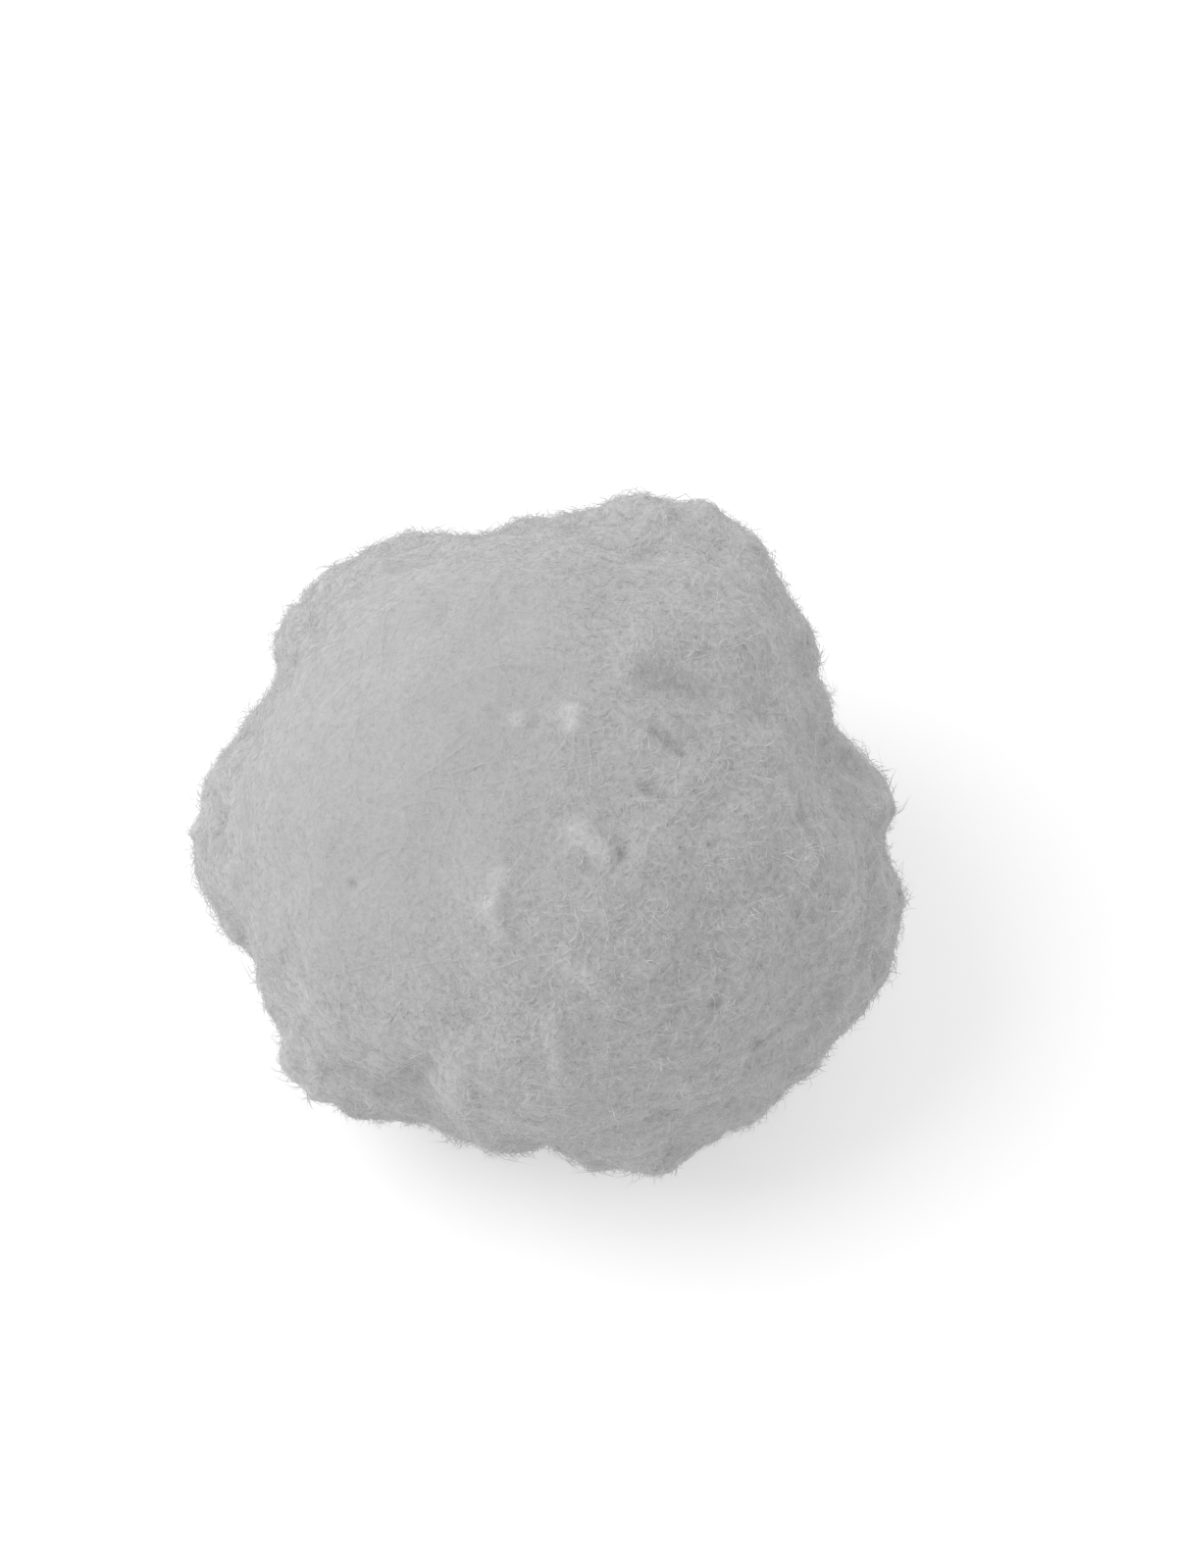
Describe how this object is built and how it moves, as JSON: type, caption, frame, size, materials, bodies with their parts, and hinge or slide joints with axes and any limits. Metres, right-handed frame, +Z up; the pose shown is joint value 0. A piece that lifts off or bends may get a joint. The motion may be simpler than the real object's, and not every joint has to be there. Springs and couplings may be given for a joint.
{
  "type": "pool filter ball",
  "caption": "Soft ball of tangled white polyester fibre, lobed and tufted, for filling a pool filter tank in place of sand.",
  "frame": {"origin": "middle of the small flat spot that the ball lies on", "axes": "+Z up, -Y towards the side described lobe by lobe, which faces forward and up"},
  "size_m": [0.0465, 0.0453, 0.0425],
  "materials": {
    "fibre": "matt, fuzzy, felted fibre"
  },
  "bodies": {
    "root": {"fibre_ball": "fibre"}
  },
  "joints": []
}
